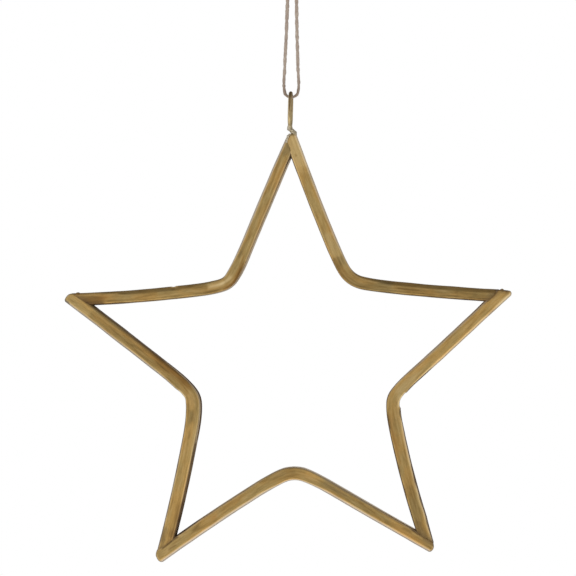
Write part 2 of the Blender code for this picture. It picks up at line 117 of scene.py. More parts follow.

# marks in the patina and painted shade: from and to along the bar, from and to across it,
# softness along and across, tone, warmth, grime (painted shade along some edges and in notch corners)
MARKS = {
    "bar_upper_right": [
        (-57, -43, -2.6, 2.7, 3.0, 0.6, 0.30, -0.3, 0.0),
        (-50.0, -43.5, -2.7, -2.05, 0.8, 0.25, 0.0, 0.0, 0.85),
        (-49.8, -48.8, -0.9, -0.3, 0.4, 0.3, -0.35, 0.4, 0.0),
        (-41.0, -35.0, 0.5, 1.0, 1.5, 0.4, -0.20, 0.3, 0.0),
        (-25.0, -18.0, 1.0, 1.5, 1.5, 0.3, -0.15, 0.6, 0.0),
        (-18.0, -9.5, -1.6, 1.4, 2.0, 0.8, 0.10, -0.2, 0.0),
        (-9.2, -5.0, -2.6, 1.9, 1.1, 1.0, -0.24, -0.1, 0.0),
        (-6.0, 1.0, -2.4, 0.2, 2.0, 0.8, -0.22, 0.35, 0.0),
        (-2.0, 3.5, 0.9, 2.4, 2.0, 0.6, -0.20, -0.1, 0.0),
        (10.0, 14.5, 0.2, 1.8, 1.5, 0.6, -0.15, -0.2, 0.0),
        (16.0, 53.0, 0.95, 2.6, 4.0, 0.35, 0.02, 0.10, 0.0),
        (18.0, 25.0, -0.6, -0.1, 2.0, 0.3, -0.16, 0.1, 0.0),
        (27.0, 37.0, -1.1, -0.4, 2.0, 0.4, 0.12, 0.25, 0.0),
        (37.0, 47.0, -2.0, -1.3, 2.0, 0.35, -0.14, 0.35, 0.0),
        (36.0, 53.0, -2.8, -2.1, 2.0, 0.2, -0.10, 0.1, 0.45),
        (-54.0, -2.0, -2.5, -1.3, 3.0, 0.4, -0.15, 0.0, 0.0),
        (1.0, 56.0, -2.7, -1.1, 3.0, 0.4, -0.30, 0.0, 0.0),
        (-50.0, -2.0, -2.9, -2.12, 2.0, 0.12, 0.0, 0.0, 0.50),
        (5.0, 50.0, -1.9, -0.9, 3.0, 0.3, 0.13, 0.0, 0.0),
        (51.5, 56.5, 0.0, 2.8, 0.8, 0.5, -0.15, 0.1, 0.40),
    ],
    "bar_lower_right": [
        (-58, -49, 1.4, 2.8, 2.0, 0.4, 0.20, -0.5, 0.0),
        (-44.0, -8.0, 1.6, 2.1, 3.0, 0.25, 0.10, 0.0, 0.0),
        (-17.0, -4.4, 2.02, 2.9, 1.5, 0.15, 0.0, 0.0, 0.85),
        (-12.0, -2.0, -1.0, 1.5, 2.0, 0.8, 0.10, -0.3, 0.0),
        (4.0, 24.0, 2.27, 2.9, 1.5, 0.12, 0.0, 0.0, 0.80),
        (24.0, 56.0, 2.06, 2.9, 1.0, 0.15, 0.0, 0.0, 0.80),
        (2.0, 52.0, 1.35, 2.1, 3.0, 0.3, 0.26, -0.35, 0.0),
        (3.0, 13.0, -2.9, -2.2, 1.5, 0.2, 0.0, 0.0, 0.60),
        (6.0, 22.0, -2.0, -1.0, 2.0, 0.35, -0.04, 0.7, 0.0),
        (20.0, 48.0, -2.9, -2.1, 2.0, 0.25, 0.0, 0.0, 0.55),
        (31.0, 47.0, -1.8, 0.9, 4.0, 0.7, -0.17, 0.1, 0.0),
        (26.0, 36.0, 0.3, 0.7, 2.0, 0.25, -0.14, 0.2, 0.0),
        (43.5, 49.0, -2.6, 0.2, 1.2, 0.6, -0.16, 0.2, 0.25),
        (2.0, 56.0, -2.9, -2.0, 2.0, 0.3, -0.24, 0.0, 0.0),
        (-3.2, 3.0, 1.1, 2.7, 0.8, 0.5, 0.28, -0.4, 0.0),
        (-57.0, -49.5, -2.9, -1.7, 1.2, 0.3, 0.0, 0.0, 0.55),
        (-56.0, -46.5, -1.85, -1.3, 1.0, 0.2, -0.1, 0.2, 0.60),
        (-57.0, -44.0, 1.5, 2.9, 2.0, 0.4, -0.14, 0.0, 0.0),
        (-55.5, -50.0, -2.6, -0.8, 1.0, 0.5, -0.15, 0.1, 0.50),
        (-8.0, 54.0, -2.9, -2.30, 2.0, 0.10, 0.0, 0.0, 0.78),
    ],
    "bar_bottom": [
        (-57, -52.5, -2.8, -0.3, 1.0, 0.5, -0.15, 0.2, 0.45),
        (-53.0, -41.0, -0.2, 1.7, 2.0, 0.6, 0.14, 0.55, 0.0),
        (-46.5, -43.0, -1.3, -0.4, 0.8, 0.4, -0.22, 0.2, 0.0),
        (-37.0, -25.0, -1.7, -0.6, 2.0, 0.5, -0.12, 0.0, 0.0),
        (-21.0, -10.0, -1.9, 0.2, 2.0, 0.5, -0.13, -0.2, 0.0),
        (-10.0, -3.0, -1.5, 1.2, 1.2, 0.7, 0.20, 0.3, 0.0),
        (1.5, 8.0, -1.1, -0.1, 1.5, 0.4, -0.20, 0.2, 0.0),
        (2.0, 12.0, -1.9, -1.3, 1.5, 0.3, -0.20, 0.2, 0.0),
        (19.0, 30.0, -1.5, -0.8, 2.0, 0.35, -0.16, 0.4, 0.0),
        (31.0, 34.0, -0.9, 0.6, 1.0, 0.4, 0.05, 0.9, 0.0),
        (38.5, 41.0, -0.9, -0.2, 0.7, 0.3, -0.25, 0.2, 0.0),
        (49.5, 52.0, -0.1, 0.35, 0.6, 0.25, -0.32, 0.5, 0.0),
        (39.0, 47.5, -2.9, -2.1, 1.0, 0.2, 0.0, 0.0, 0.75),
        (-56.0, 58.0, 1.5, 2.3, 3.0, 0.3, 0.10, 0.1, 0.0),
        (-56.0, -2.0, -2.5, -0.7, 3.0, 0.5, 0.20, 0.0, 0.0),
        (0.0, 56.0, -2.5, -1.2, 3.0, 0.5, 0.06, 0.0, 0.0),
        (-55.5, -54.0, -0.9, -0.2, 0.4, 0.25, 0.0, 0.0, 0.5),
        (-56.5, -55.2, 0.2, 0.8, 0.4, 0.25, 0.0, 0.0, 0.4),
        (47.0, 55.0, -1.95, -1.45, 0.8, 0.2, -0.1, 0.3, 0.80),
        (-55.5, -46.5, -1.65, -1.15, 0.8, 0.2, -0.1, 0.2, 0.80),
        (-54.0, -51.0, -1.3, -0.6, 0.6, 0.3, -0.1, 0.2, 0.45),
    ],
    "bar_lower_left": [
        (-53.0, -47.5, 0.4, 2.4, 1.5, 0.8, -0.22, -0.1, 0.15),
        (-51.0, -37.0, -2.6, -1.1, 3.0, 0.6, -0.36, 0.5, 0.0),
        (-50.5, -47.0, -2.0, 0.0, 1.5, 0.8, -0.20, 0.3, 0.15),
        (-40.5, -36.0, 1.0, 1.3, 1.0, 0.25, -0.22, 0.5, 0.0),
        (-9.5, -4.0, -1.6, 1.2, 1.5, 0.7, -0.26, 0.0, 0.0),
        (-3.0, 2.0, -0.4, 0.9, 1.2, 0.5, 0.20, -0.2, 0.0),
        (0.0, 6.0, 1.7, 2.8, 1.5, 0.4, 0.30, -0.6, 0.0),
        (5.0, 19.0, -2.3, 0.1, 2.5, 0.6, -0.15, 0.3, 0.0),
        (12.5, 15.5, -0.9, -0.2, 0.9, 0.35, -0.10, 0.2, 0.0),
        (22.0, 46.0, -1.5, -0.8, 3.0, 0.4, -0.07, 0.4, 0.0),
        (48.0, 60.0, -2.0, 1.6, 2.0, 0.6, 0.24, -0.05, 0.0),
        (57.5, 60.0, 1.4, 2.6, 0.5, 0.3, -0.3, -0.5, 0.25),
        (-52.0, -4.0, -1.9, -0.8, 3.0, 0.4, 0.10, 0.0, 0.0),
        (6.0, 54.0, -2.1, -0.8, 3.0, 0.4, 0.14, 0.0, 0.0),
        (2.0, 22.0, -2.3, -0.9, 2.0, 0.3, -0.12, 0.9, 0.0),
        (1.0, 6.0, 1.2, 2.4, 1.0, 0.3, 0.15, -0.4, 0.0),
        (-56.0, -2.0, 2.00, 2.9, 2.0, 0.12, 0.0, 0.0, 0.62),
        (-56.0, -45.0, 1.7, 2.9, 1.5, 0.2, 0.0, 0.0, 0.45),
    ],
    "bar_upper_left": [
        (-54.0, -45.5, -2.5, 0.9, 2.0, 1.0, -0.30, 0.9, 0.10),
        (-47.0, -43.0, -0.6, 1.6, 2.0, 0.7, 0.06, 0.7, 0.0),
        (-51.0, -36.0, -2.8, -1.9, 3.0, 0.3, -0.25, 0.4, 0.0),
        (-43.5, -7.5, 0.62, 2.6, 1.2, 0.20, 0.0, 0.10, 0.0),
        (-20.6, -18.9, 1.8, 2.5, 0.4, 0.2, 1.10, -0.7, 0.0),
        (-39.0, -11.0, -1.3, -0.3, 3.0, 0.4, 0.12, 0.1, 0.0),
        (-7.0, -1.0, -1.0, 1.6, 1.2, 0.6, 0.22, -0.2, 0.0),
        (-3.5, 3.0, -0.3, 0.5, 1.0, 0.3, 0.20, -0.3, 0.0),
        (-0.5, 6.5, -2.2, -1.1, 1.2, 0.4, -0.16, 0.6, 0.0),
        (1.0, 8.5, -2.9, -2.2, 1.2, 0.2, 0.0, 0.0, 0.20),
        (10.0, 13.5, 0.4, 1.2, 0.9, 0.3, -0.24, -0.2, 0.0),
        (8.5, 11.5, -0.5, 0.3, 0.8, 0.3, 0.14, -0.2, 0.0),
        (22.0, 34.0, -1.7, -1.1, 2.0, 0.3, -0.15, 0.4, 0.0),
        (33.0, 51.0, -0.5, 0.0, 2.0, 0.25, 0.16, -0.1, 0.0),
        (37.0, 47.0, -1.7, -1.0, 2.0, 0.3, 0.02, 0.6, 0.0),
        (43.0, 52.0, 0.9, 1.3, 1.0, 0.25, -0.16, 0.4, 0.0),
        (51.5, 55.5, -1.8, 0.8, 1.5, 0.7, -0.16, -0.1, 0.10),
        (-56.0, -3.0, -2.4, -1.1, 2.0, 0.4, -0.24, 0.0, 0.0),
        (2.0, 54.0, -2.4, -1.7, 2.0, 0.3, -0.12, 0.0, 0.0),
        (2.0, 54.0, -1.2, -0.2, 2.0, 0.3, 0.10, 0.0, 0.0),
        (-6.0, 2.5, -0.2, 0.7, 1.2, 0.3, 0.30, -0.4, 0.0),
        (-1.5, 9.0, -2.1, -1.3, 1.2, 0.3, -0.30, 0.9, 0.0),
        (3.0, 12.0, -1.0, -0.6, 1.5, 0.25, -0.2, 0.8, 0.0),
        (52.5, 57.0, -2.2, -0.6, 0.5, 0.3, -0.1, 0.3, 0.45),
        (-53.5, -45.5, -2.8, -0.8, 1.5, 0.6, -0.10, 0.1, 0.36),
        (-56.5, -46.5, 1.1, 2.6, 1.5, 0.3, 0.30, 0.2, 0.0),
        (-43.0, -8.0, 0.4, 1.1, 2.0, 0.3, -0.10, 0.0, 0.0),
        (-50.0, -5.0, -1.9, -1.0, 3.0, 0.3, 0.12, 0.0, 0.0),
        (-56.0, -4.0, 2.05, 2.9, 2.0, 0.2, -0.16, 0.0, 0.0),
    ],
}

# how grey the dressed noses are
NOSES = {
    ("bar_upper_right", 0): 0.35,
    ("bar_lower_right", 0): 0.85,
    ("bar_bottom", 0): 0.45,
    ("bar_bottom", 1): 0.70,
    ("bar_lower_left", 1): 0.85,
}

# painted shade on the side walls: side (1 is the left of the way along), from, to, darkness,
# how far back from the front edge it reaches and, where it is given, where it starts
WALL_SHADE = {
    "bar_upper_right": [(-1, 30, 56, 0.45, 1.2), (-1, -56, -42, 0.85, 5.0), (1, 4, 56, 0.5, 1.0)],
    "bar_lower_right": [(1, 2, 56, 0.95, 1.1), (-1, -7, 56, 0.80, 1.1), (1, -17, -4.2, 0.9, 1.3)],
    "bar_bottom": [(-1, 38, 48, 0.9, 5.0)],
    "bar_lower_left": [(-1, -58, -15, 0.86, 5.0), (-1, -15, 15, 0.90, 5.0, 2.0), (-1, 15, 60, 0.70, 5.0),
                       (1, -58, -1, 0.75, 1.0)],
    "bar_upper_left": [(-1, -50, -34, 0.4, 1.5), (1, -56, -4, 0.5, 1.0)],
}

# dents in the sides, left by bending and handling: side, from, to, depth, softness
DENTS = {
    "bar_lower_right": [(1, -4.4, 3.0, 0.34, 0.45)],
    "bar_lower_left": [(1, 0.2, 5.6, 0.36, 1.5)],
    "bar_upper_left": [(1, -20.4, -19.2, 0.22, 0.5), (1, -4.0, 1.5, 0.10, 1.5)],
    "bar_bottom": [(-1, -2.0, 2.0, 0.08, 1.5)],
}

# grime beside each butted end: width, darkness, darkness of the seam itself
SEAMS = {
    ("bar_upper_left", 1): (2.0, 0.32, 0.60),
    ("bar_upper_right", 1): (1.5, 0.58, 0.92),
    ("bar_lower_right", 1): (1.7, 0.62, 1.0),
    ("bar_lower_left", 0): (1.2, 0.55, 0.95),
    ("bar_upper_left", 0): (2.5, 0.62, 0.90),
}

# darkening on the nose along the other bar's outer side: width, darkness, and how far from the
# nose's end it stops
OUTER = {
    ("bar_lower_right", 0): (1.15, 0.85, 1.3),
    ("bar_bottom", 0): (0.35, 0.60, -9.0),
    ("bar_bottom", 1): (0.35, 0.50, -9.0),
    ("bar_lower_left", 1): (0.30, 0.35, -9.0),
}

# beads of braze left on the joints: X and Z, half sizes along, up and deep
BEADS = {
    "bar_lower_right": [((74.38, -135.27), (0.62, 0.42, 0.95))],
    "bar_lower_left": [((-78.20, -135.74), (0.90, 0.50, 1.15))],
}

WIRE = 1.5
EYE_TOP, EYE_HEIGHT, EYE_DEPTH = -62.25, 13.6, 6.5
EYE_X = (-0.62, -0.98)

TWINE = 1.3
STRAND_LEFT = ((-0.86, 0.15), (-1.10, -12.0), (-1.85, -28.4), (-2.35, -42.0),
               (-2.88, -53.0), (-2.95, -62.35))
STRAND_RIGHT = ((0.86, 0.15), (1.02, -12.0), (1.42, -28.5), (1.62, -42.0),
                (1.93, -53.0), (1.99, -62.35))
TURN_Z = -64.45


# ---- small tools -------------------------------------------------------------------------
def smooth(low, high, x):
    t = np.clip((np.asarray(x, float) - low) / (high - low), 0.0, 1.0)
    return t * t * (3 - 2 * t)


def waves(p, scale, seed, count=14):
    """Smooth pseudo-random values from about -1 to 1, one for each row of p."""
    rng = np.random.default_rng(seed)
    k = rng.normal(size=(count, p.shape[1]))
    k /= np.linalg.norm(k, axis=1)[:, None]
    k *= (2 * math.pi / scale) * rng.uniform(0.55, 1.7, (count, 1))
    phase = rng.uniform(0, 2 * math.pi, count)
    return np.sin(p @ k.T + phase).sum(1) / math.sqrt(count / 2) * 0.6


def mesh_object(name, verts, faces, attributes=None, smooth_shading=True):
    """A mesh object from millimetre vertices, with named point attributes."""
    me = bpy.data.meshes.new(name)
    me.from_pydata((np.asarray(verts) * MM).tolist(), [], faces)
    for key, value in (attributes or {}).items():
        value = np.asarray(value, np.float32)
        if value.ndim == 1:
            me.attributes.new(key, "FLOAT", "POINT").data.foreach_set("value", value)
        else:
            me.attributes.new(key, "FLOAT_VECTOR", "POINT").data.foreach_set(
                "vector", value.ravel())
    if smooth_shading:
        me.shade_smooth()
    obj = bpy.data.objects.new(name, me)
    bpy.context.scene.collection.objects.link(obj)
    return obj


def tube_faces(rings, sides, first=0, cap=True):
    faces = []
    for i in range(rings - 1):
        a, b = first + i * sides, first + (i + 1) * sides
        for k in range(sides):
            j = (k + 1) % sides
            faces.append((a + k, a + j, b + j, b + k))
    if cap:
        faces.append(tuple(first + k for k in reversed(range(sides))))
        faces.append(tuple(first + (rings - 1) * sides + k for k in range(sides)))
    return faces


def frames(path):
    """Tangents and two steady normals along a path."""
    path = np.asarray(path, float)
    t = np.gradient(path, axis=0)
    t /= np.linalg.norm(t, axis=1)[:, None]
    u = np.zeros_like(t)
    guide = np.array([0.0, 1.0, 0.0]) if abs(t[0][1]) < 0.9 else np.array([1.0, 0.0, 0.0])
    u[0] = np.cross(t[0], guide)
    u[0] /= np.linalg.norm(u[0])
    for i in range(1, len(t)):
        v = u[i - 1] - t[i] * np.dot(u[i - 1], t[i])
        u[i] = v / np.linalg.norm(v)
    return t, u, np.cross(t, u)


def polar(radius, azimuth):
    a = math.radians(azimuth)
    return np.array([STAR[0] + radius * math.cos(a), STAR[1] + radius * math.sin(a)])


def direction(azimuth):
    a = math.radians(azimuth)
    return np.array([math.cos(a), math.sin(a)])


# ---- the bars ----------------------------------------------------------------------------
class Line:
    """The bent centre line of one bar, by arc length from the middle of its bend."""

    REACH = 66.0

    def __init__(self, bend, heading, turn, share, core, tail, bow, width, twist, dress):
        self.width, self.twist, self.dress, self.tail = width, twist, dress, tail
        s = np.linspace(-self.REACH, self.REACH, 2641)
        sharp = np.sqrt((s / core + 1) ** 2 + 0.12) - np.sqrt((s / core - 1) ** 2 + 0.12)
        soft = np.sin(np.clip(s / tail, -1, 1) * math.pi / 2)
        head = math.radians(heading) + math.radians(turn) * (
            share * (0.5 + sharp / 4) + (1 - share) * (0.5 + soft / 2))
        head += bow[0] * np.minimum(s + tail, 0) + bow[1] * np.maximum(s - tail, 0)
        step = s[1] - s[0]
        mid = (head[1:] + head[:-1]) / 2
        x = np.concatenate([[0], np.cumsum(np.cos(mid)) * step])
        z = np.concatenate([[0], np.cumsum(np.sin(mid)) * step])
        at = polar(*bend)
        self.s, self.head = s, head
        self.x = x - np.interp(0, s, x) + at[0]
        self.z = z - np.interp(0, s, z) + at[1]

    def face(self, s):
        t = 0.5 + 0.5 * np.sin(np.clip(np.asarray(s) / 12.0, -1, 1) * math.pi / 2)
        return self.width[0] + (self.width[1] - self.width[0]) * t

    def surface(self, s, across, deep):
        """Points at arc length s, across the face and deep from the middle (arrays)."""
        s, across, deep = np.broadcast_arrays(*(np.asarray(v, float) for v in (s, across, deep)))
        across = across.copy()
        for end, dress in enumerate(self.dress):
            if dress:
                here = ((s > 0) == bool(end)) & (dress[0] * across > 0)
                filed = math.tan(math.radians(dress[2])) * np.maximum(np.abs(s) - dress[1], 0)
                across = np.where(here, across * (1 - filed / (self.face(s) / 2)), across)
        t = 0.5 + 0.5 * np.sin(np.clip(s / 12.0, -1, 1) * math.pi / 2)
        roll = np.radians(self.twist[0] + (self.twist[1] - self.twist[0]) * t)
        a = across * np.cos(roll) - deep * np.sin(roll)
        d = across * np.sin(roll) + deep * np.cos(roll)
        h = np.interp(s, self.s, self.head)
        x, z = np.interp(s, self.s, self.x), np.interp(s, self.s, self.z)
        return np.stack([x - np.sin(h) * a, d, z + np.cos(h) * a], axis=-1)


def side_plane(line, end, tip, toward, offset):
    away = np.hypot(line.x - tip[0], line.z - tip[1])
    s = abs(line.s[np.argmin(np.where((line.s > 0) == bool(end), away, 1e9))])
    sign = 1 if end else -1
    p = line.surface(sign * s, 0, 0)[[0, 2]]
    h = np.interp(sign * s, line.s, line.head)
    side = 1 if np.dot(toward - p, [-math.sin(h), math.cos(h)]) > 0 else -1
    near, far = (line.surface(sign * k, side * line.face(sign * k) / 2, 0.0)[[0, 2]]
                 for k in (s - 9.0, s - 2.0))
    run = (far - near) / np.linalg.norm(far - near)
    n = np.array([-run[1], run[0]])
    if np.dot(far - p, n) < 0:
        n = -n
    return far + n * offset, n


BITE = 0.75  # how far a butted end reaches into the rounding of the bar it is brazed to


def end_planes(lines):
    found = {}
    for tip in TIPS.values():
        (t_name, t_end), (b_name, b_end) = tip["through"], tip["butt"]
        t_line, b_line = lines[t_name], lines[b_name]
        nose = polar(*tip["nose"])
        b_far = b_line.surface(30.0 if b_end else -30.0, 0, 0)[[0, 2]]
        t_far = t_line.surface(30.0 if t_end else -30.0, 0, 0)[[0, 2]]
        p, n = side_plane(t_line, t_end, nose, b_far, -BITE)
        found[b_name, b_end] = ("butt", [(p, -n)])
        outer = side_plane(b_line, b_end, nose, 2 * nose - t_far, tip["proud"])
        cuts = [outer, (nose, direction(tip["facing"]))]
        if "cut" in tip:
            reach, way, look, back = tip["cut"]
            cuts.append((nose + reach * direction(way) - back * direction(look), direction(look)))
        found[t_name, t_end] = ("nose", cuts)
    return found


def end_at(line, end, planes, across, deep, soft=1.2):
    """Arc length at which each long line of a bar ends: a softened minimum over the planes."""
    sign = 1.0 if end else -1.0
    found = []
    for p, n in planes:
        s = np.full(np.shape(across), 55.0)
        for _ in range(12):
            q = line.surface(sign * s, across, deep)
            d = (q[..., 0] - p[0]) * n[0] + (q[..., 2] - p[1]) * n[1]
            h = np.interp(sign * s, line.s, line.head)
            rate = sign * (np.cos(h) * n[0] + np.sin(h) * n[1])
            s = np.clip(s - d / rate, 30.0, 66.0)
        found.append(s)
    best = found[0]
    for s in found[1:]:
        best = (best + s - np.sqrt((best - s) ** 2 + soft**2)) / 2
    return best


CORNER, FLAT = 10, 10


def section(width, depth, left, right, chamfer=0.35):
    """A rounded rectangle as (across, deep) pairs. The corners on the left of the way along
    have one radius, those on the right another; each is part arc and part plain bevel."""
    across, deep = [], []
    corners = ((1, 1, left), (-1, 1, right), (-1, -1, right), (1, -1, left))
    arcs = []
    for k, (sx, sy, r) in enumerate(corners):
        cx, cy = sx * (width / 2 - r), sy * (depth / 2 - r)
        row = []
        for i in range(CORNER + 1):
            f = i / CORNER
            a = math.radians(90 * (k + f))
            a0, a1 = math.radians(90 * k), math.radians(90 * (k + 1))
            ax, ay = math.cos(a), math.sin(a)
            bx = math.cos(a0) * (1 - f) + math.cos(a1) * f
            by = math.sin(a0) * (1 - f) + math.sin(a1) * f
            row.append((cx + r * (ax * (1 - chamfer) + bx * chamfer),
                        cy + r * (ay * (1 - chamfer) + by * chamfer)))
        arcs.append(row)
    for k, row in enumerate(arcs):
        across += [p[0] for p in row]
        deep += [p[1] for p in row]
        (x0, y0), (x1, y1) = row[-1], arcs[(k + 1) % 4][0]
        for i in range(1, FLAT):
            across.append(x0 + (x1 - x0) * i / FLAT)
            deep.append(y0 + (y1 - y0) * i / FLAT)
    return np.array(across), np.array(deep)


def facing_angles():
    """Which way each section point looks: 0 is to the left of the way along."""
    out = []
    for k in range(4):
        out += [math.radians(90 * (k + i / CORNER)) for i in range(CORNER + 1)]
        out += [math.radians(90 * (k + 1))] * (FLAT - 1)
    return np.array(out)


def box_weight(v, low, high, soft):
    return smooth(low - soft, low + soft, v) * (1 - smooth(high - soft, high + soft, v))


def cap_of(rows0, rows1, total, name):
    """How grey the cut end is, for every row of a bar's mesh."""
    out = np.zeros(total)
    for index, rows in enumerate((rows0, rows1)):
        grey = NOSES.get((name, index), 0.0)
        count = len(rows) - 1
        fade = np.minimum(np.arange(1, count + 1) / 5.0, 1.0) * grey
        if index:
            out[total - count:] = fade
        else:
            out[:count] = fade[::-1]
    return out


def bead(at, half, around=20, rows=11):
    """A small uneven lump: vertices and faces."""
    verts, faces = [(0.0, 0.0, 1.0)], []
    for i in range(1, rows):
        up = math.pi * i / rows
        for k in range(around):
            a = 2 * math.pi * k / around
            verts.append((math.sin(up) * math.cos(a), math.sin(up) * math.sin(a), math.cos(up)))
    verts.append((0.0, 0.0, -1.0))
    last = len(verts) - 1
    for k in range(around):
        j = (k + 1) % around
        faces.append((0, 1 + k, 1 + j))
        faces.append((last, last - around + j, last - around + k))
        for i in range(rows - 2):
            a, b = 1 + i * around, 1 + (i + 1) * around
            faces.append((a + k, b + k, b + j, a + j))
    v = np.array(verts)
    v = v * (1 + 0.08 * waves(v, 1.6, 5))[:, None]
    return v * [half[0], half[2], half[1]] + np.array(at), faces


def build_bar(name, line, start, end):
    """A fine mesh of one bar: long edges rounded, faces a little uneven, ends cut and dressed."""
    facing = facing_angles()
    count = len(facing)
    edges = EDGES[name]
    seed = sum(map(ord, name))

    def ring(s, inset=0.0):
        """Across and deep of the whole section at arc length s, drawn in by inset."""
        w = float(line.face(s))
        t = float(smooth(-6.0, 6.0, s))
        tight = 1 - 0.5 * math.exp(-((s / 12.0) ** 4))
        left, right = ((edges[0][k] * (1 - t) + edges[1][k] * t) * tight for k in (0, 1))
        if name in EASED:
            s0, s1, less = EASED[name]
            left *= 1 - less * (1 - float(smooth(s0, s1, s)))
        # the bend leaves the bar thicker on its inner side and thinner on its outer side
        pinch = math.exp(-((s / 4.5) ** 2))
        a, d = section(w, DEPTH, left, right)
        d = d * (1 + pinch * (0.030 * a / (w / 2) - 0.010))
        for side, s0, s1, deep, soft in DENTS.get(name, ()):
            dent = deep * float(box_weight(s, s0, s1, soft))
            a = a - side * dent * smooth(0.35, 0.75, side * a / (w / 2))
        if inset:
            a = a * (1 - inset / (w / 2))
            d = d * (1 - inset / (DEPTH / 2))
        return a, d

    def whole_end(end_index, kind, planes):
        sign = 1 if end_index else -1
        turn = 0.8 if kind == "nose" else 0.08
        rows = []
        a0, d0 = ring(sign * 55)
        full = end_at(line, end_index, planes, a0, d0)
        for i in range(0, 7):
            phi = math.radians(90 * i / 6)
            inset = turn * (1 - math.cos(phi))
            a, d = ring(sign * 55, inset)
            t = end_at(line, end_index, planes, a, d) - turn * (1 - math.sin(phi))
            rows.append((sign * t, a, d))
        for f in (0.8, 0.6, 0.4, 0.2):
            a, d = ring(sign * 55, turn)
            a, d = a * f, d * f
            rows.append((sign * end_at(line, end_index, planes, a, d), a, d))
        return full - turn, rows

    kind0, planes0 = start
    kind1, planes1 = end
    first, rows0 = whole_end(0, kind0, planes0)
    last, rows1 = whole_end(1, kind1, planes1)

    body = []
    near, far = 40.0, 40.0
    n_leg = 66
    for i in range(n_leg):
        f = i / n_leg
        a, d = ring(-50.0)
        body.append((-first + (first - near) * f, a, d))
    for s in np.concatenate([np.linspace(-near, -10, 116)[:-1], np.linspace(-10, 10, 100)[:-1],
                             np.linspace(10, far, 116)]):
        a, d = ring(s)
        body.append((np.full(count, s), a, d))
    for i in range(1, n_leg + 1):
        f = i / n_leg
        a, d = ring(50.0)
        body.append((far + (last - far) * f, a, d))

    rows = list(reversed(rows0[1:])) + body + rows1[1:]
    S = np.array([r[0] for r in rows])
    A = np.array([r[1] for r in rows])
    D = np.array([r[2] for r in rows])
    P = line.surface(S, A, D)

    # slight unevenness of drawn and hand-bent stock
    co = np.stack([S, A, D], axis=-1).reshape(-1, 3)
    low = waves(co * [0.55, 1, 1], 7.0, seed)
    mid = waves(co * [0.35, 1, 1], 2.4, seed + 1)
    push = (0.030 * low + 0.012 * mid).reshape(S.shape)
    h = np.interp(S, line.s, line.head)
    reach = np.maximum(np.hypot(A, D), 1e-6)
    na, nd = A / reach, D / reach
    P = P + push[..., None] * np.stack([-np.sin(h) * na, nd, np.cos(h) * na], axis=-1)

    # patina, wear and painted light and shade, as values carried by the mesh
    s, a = co[:, 0], co[:, 1]
    ang = np.broadcast_to(facing, S.shape).ravel()
    warp_s = s + 0.9 * waves(co * [0.7, 1, 1], 3.2, seed + 5)
    warp_a = a + 0.16 * waves(co * [0.35, 1, 1], 2.6, seed + 6)
    front = (co[:, 2] < 1.2).astype(float)
    leg = smooth(-9.0, 9.0, s)
    # each leg's brightness, partly painted shade
    tone = LEG_TONE[name][0] * (1 - leg) + LEG_TONE[name][1] * leg
    warm = np.zeros_like(s)
    grime = np.zeros_like(s)
    # the marks' grime: real grime at joints, painted shade along edges and in notch corners
    for s0, s1, a0, a1, soft_s, soft_a, t, wm, g in MARKS[name]:
        k = box_weight(warp_s, s0, s1, soft_s) * box_weight(warp_a, a0, a1, soft_a) * front
        tone += t * k
        warm += wm * k
        grime = np.maximum(grime, g * k)
    wall = np.zeros_like(s)
    side_now = np.cos(ang)
    ways = smooth(-6.0, 6.0, s)
    worn = np.zeros_like(s)
    # pale long edges: partly worn brass, partly a painted highlight
    for k, side in enumerate((1, -1)):
        amount = WORN_AND_SHEEN[name][0][k] * (1 - ways) + WORN_AND_SHEEN[name][1][k] * ways
        worn += amount * smooth(0.10, 0.75, side * side_now)
    # painted shade on the side walls
    for side, s0, s1, dark, reach, *hidden in WALL_SHADE[name]:
        k = box_weight(warp_s, s0, s1, 1.5) * smooth(0.66, 0.93, side * side_now)
        k = k * (1 - smooth(reach - 0.7, reach + 0.7, co[:, 2] + DEPTH / 2))
        for start_at in hidden:
            k = k * smooth(start_at - 0.6, start_at + 0.6, co[:, 2] + DEPTH / 2)
        wall = np.maximum(wall, dark * k)
    for end_index, (kind, planes) in enumerate((start, end)):
        if (name, end_index) in OUTER:
            wide, dark, clear = OUTER[name, end_index]
            at, look = planes[0]
            inside = -((P[..., 0] - at[0]) * look[0] + (P[..., 2] - at[1]) * look[1]).ravel()
            uneven = 0.9 + 0.3 * waves(co * [1.0, 1, 1], 1.8, seed + 10)
            k = dark * uneven * np.exp(-((np.maximum(inside - 0.2, 0) / wide) ** 2))
            at, look = planes[1]
            short = -((P[..., 0] - at[0]) * look[0] + (P[..., 2] - at[1]) * look[1]).ravel()
            k = k * smooth(clear - 0.6, clear + 0.6, short)
            grime = np.maximum(grime, np.where((2 * end_index - 1) * S.ravel() > 46, k, 0))
        if kind == "butt":
            wide, dark, crack = SEAMS[name, end_index]
            sign = 1 if end_index else -1
            stop = end_at(line, end_index, planes, A.ravel(), D.ravel())
            away = np.maximum(stop - 0.12 - sign * S.ravel(), 0)
            wide = wide * (1 + 0.35 * waves(co * [0.3, 1, 1], 2.2, seed + 8))
            k = dark * np.exp(-((away / np.maximum(wide, 0.2)) ** 2))
            uneven = 0.75 + 0.35 * waves(co * [1.0, 1, 1], 1.6, seed + 9)
            k = np.maximum(k, crack * uneven * np.exp(-((away / 0.30) ** 2)))
            grime = np.maximum(grime, np.where(sign * S.ravel() > 35, k, 0))

    verts, faces = P.reshape(-1, 3), tube_faces(len(rows), count)
    carried = {
        "bar_co": co,
        "worn": worn,
        "nose": np.concatenate([np.full(count, v) for v in cap_of(rows0, rows1, len(rows), name)]),
        "tone": tone,
        "warm": warm,
        "grime": grime,
        "wall": wall,
    }
    for (x, z), half in BEADS.get(name, ()):
        v, f = bead((x, -1.75, z), half)
        faces += [tuple(i + len(verts) for i in face) for face in f]
        verts = np.concatenate([verts, v])
        for key, value in carried.items():
            if key == "bar_co":
                more = v[:, [0, 2, 1]]
            else:
                more = np.full(len(v), {"grime": 0.55, "tone": -0.25}.get(key, 0.0))
            carried[key] = np.concatenate([value, more])
    return mesh_object(name + "_bar", verts, faces, carried)


